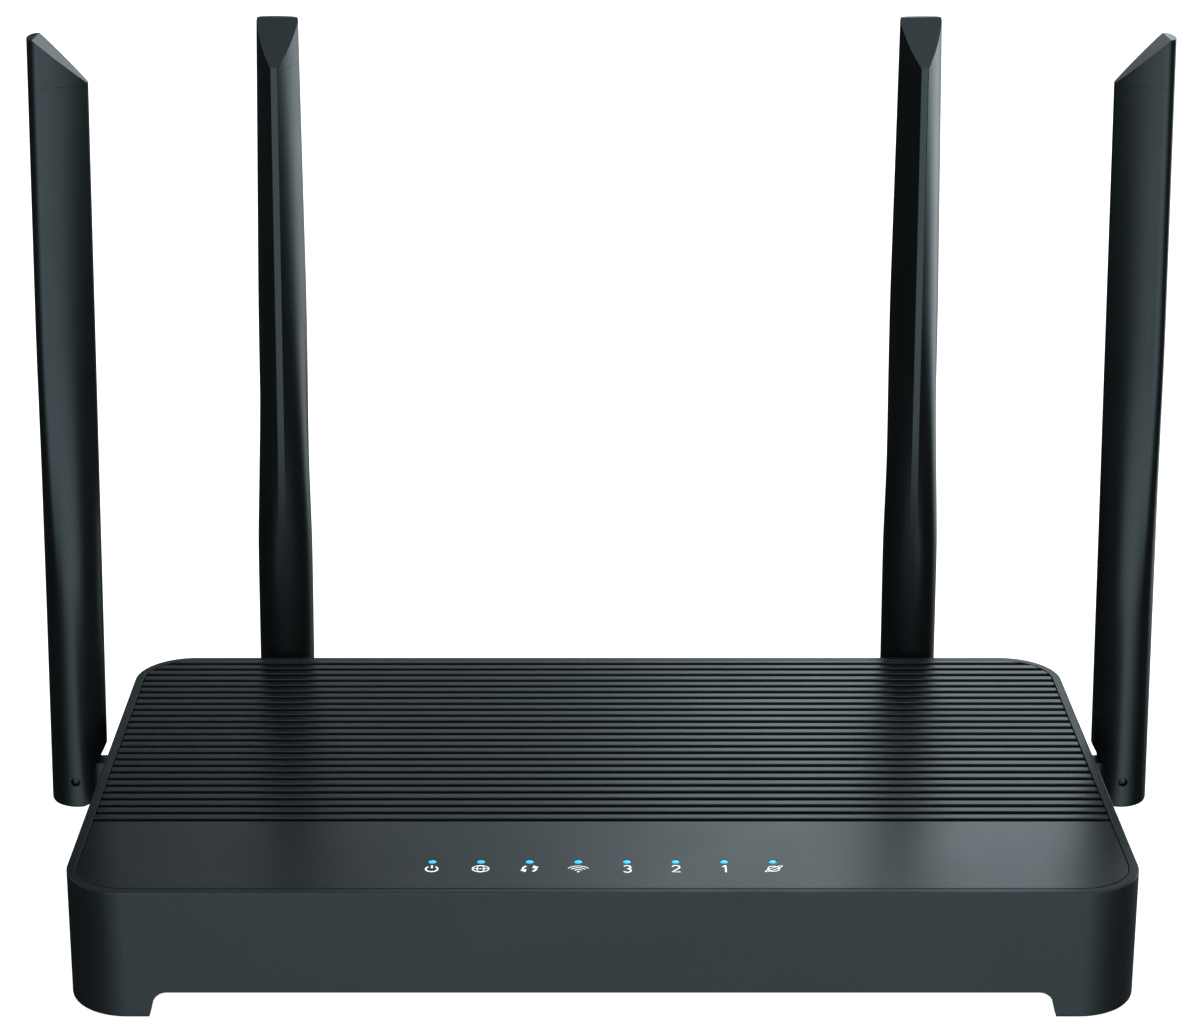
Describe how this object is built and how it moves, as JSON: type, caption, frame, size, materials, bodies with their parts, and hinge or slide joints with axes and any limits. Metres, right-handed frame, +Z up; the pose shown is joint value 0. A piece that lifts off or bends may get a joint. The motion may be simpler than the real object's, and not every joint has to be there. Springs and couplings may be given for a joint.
{
  "type": "wireless router",
  "caption": "Flat rounded-box wireless router with a ribbed top, a smooth front band of status lights, rear network sockets and folding antennas on swivel knuckles.",
  "frame": {"origin": "bottom centre of the router's whole box, antennas included, on the plane of the rubber feet", "axes": "+X along the front to the router's right as seen from the front, +Y from the front to the rear sockets, +Z up"},
  "size_m": [0.2526, 0.1402, 0.1869],
  "materials": {
    "case_black": "satin charcoal",
    "cover_black": "satin black",
    "antenna_black": "satin black",
    "knuckle_black": "satin black",
    "foot_rubber": "matte",
    "light_guide": "clear, lit cyan",
    "circuit_board": "green solder mask",
    "chip_black": "matte",
    "steel": "plated",
    "shield_tin": "tinned",
    "aluminium": "plain",
    "jack_plastic": "semi-gloss",
    "button_plastic": "satin",
    "copper": "plain",
    "lead_grey": "smooth sheath"
  },
  "bodies": {
    "case": {"base_plate": "case_black", "board_screw_1": "steel", "board_screw_2": "steel", "board_screw_3": "steel", "board_screw_4": "steel", "case_screw_front_left": "steel", "case_screw_front_right": "steel", "case_screw_rear_left": "steel", "case_screw_rear_right": "steel", "coax_lead_left": "lead_grey", "coax_lead_rear_left": "lead_grey", "coax_lead_rear_right": "lead_grey", "coax_lead_right": "lead_grey", "filter_capacitor": "aluminium", "heat_sink": "aluminium", "lan_jack_1": "jack_plastic", "lan_jack_2": "jack_plastic", "lan_jack_3": "jack_plastic", "light_guide": "light_guide", "main_board": "circuit_board", "memory_chip": "chip_black", "network_transformer_1": "chip_black", "network_transformer_2": "chip_black", "power_inlet": "jack_plastic", "power_switch": "chip_black", "processor": "chip_black", "rubber_foot_front_left": "foot_rubber", "rubber_foot_front_right": "foot_rubber", "rubber_foot_rear_left": "foot_rubber", "rubber_foot_rear_right": "foot_rubber", "top_cover": "cover_black", "upper_housing": "case_black", "wan_jack": "jack_plastic", "wifi_shield": "shield_tin", "wps_switch": "chip_black"},
    "knuckle_left": {"knuckle_left": "knuckle_black"},
    "antenna_left": {"antenna_shell_left": "antenna_black", "antenna_tip_left": "antenna_black", "radiator_left": "copper", "hinge_pin_left": "steel"},
    "knuckle_right": {"knuckle_right": "knuckle_black"},
    "antenna_right": {"antenna_shell_right": "antenna_black", "antenna_tip_right": "antenna_black", "radiator_right": "copper", "hinge_pin_right": "steel"},
    "knuckle_rear_left": {"knuckle_rear_left": "knuckle_black"},
    "antenna_rear_left": {"antenna_shell_rear_left": "antenna_black", "antenna_tip_rear_left": "antenna_black", "radiator_rear_left": "copper", "hinge_pin_rear_left": "steel"},
    "knuckle_rear_right": {"knuckle_rear_right": "knuckle_black"},
    "antenna_rear_right": {"antenna_shell_rear_right": "antenna_black", "antenna_tip_rear_right": "antenna_black", "radiator_rear_right": "copper", "hinge_pin_rear_right": "steel"},
    "power_button": {"power_button": "button_plastic"},
    "wps_button": {"wps_button": "button_plastic"}
  },
  "joints": [
    {"name": "left_antenna_swivel", "type": "hinge", "parent": "case", "child": "knuckle_left", "pos_m": [-0.1198, 0.01637, 0.0158], "axis": [1, 0, 0], "range_deg": [-90, 90]},
    {"name": "left_antenna_fold", "type": "hinge", "parent": "knuckle_left", "child": "antenna_left", "pos_m": [-0.1198, 0.01637, 0.0158], "axis": [0, -1, 0], "range_deg": [0, 90]},
    {"name": "right_antenna_swivel", "type": "hinge", "parent": "case", "child": "knuckle_right", "pos_m": [0.1198, 0.01637, 0.0158], "axis": [1, 0, 0], "range_deg": [-90, 90]},
    {"name": "right_antenna_fold", "type": "hinge", "parent": "knuckle_right", "child": "antenna_right", "pos_m": [0.1198, 0.01637, 0.0158], "axis": [0, 1, 0], "range_deg": [0, 90]},
    {"name": "rear_left_antenna_swivel", "type": "hinge", "parent": "case", "child": "knuckle_rear_left", "pos_m": [-0.0762, 0.06366, 0.0116], "axis": [0, -1, 0], "range_deg": [-20, 90]},
    {"name": "rear_left_antenna_fold", "type": "hinge", "parent": "knuckle_rear_left", "child": "antenna_rear_left", "pos_m": [-0.0762, 0.06366, 0.0116], "axis": [-0.9999, 0, 0.0122], "range_deg": [0, 90]},
    {"name": "rear_right_antenna_swivel", "type": "hinge", "parent": "case", "child": "knuckle_rear_right", "pos_m": [0.0762, 0.06366, 0.0116], "axis": [0, 1, 0], "range_deg": [-20, 90]},
    {"name": "rear_right_antenna_fold", "type": "hinge", "parent": "knuckle_rear_right", "child": "antenna_rear_right", "pos_m": [0.0762, 0.06366, 0.0116], "axis": [-0.9999, 0, -0.0122], "range_deg": [0, 90]},
    {"name": "power_button_press", "type": "slide", "parent": "case", "child": "power_button", "axis": [0, -1, 0], "range_m": [0, 0.002], "stiffness_N_per_m": 400},
    {"name": "wps_button_press", "type": "slide", "parent": "case", "child": "wps_button", "axis": [0, -1, 0], "range_m": [0, 0.001], "stiffness_N_per_m": 600}
  ]
}
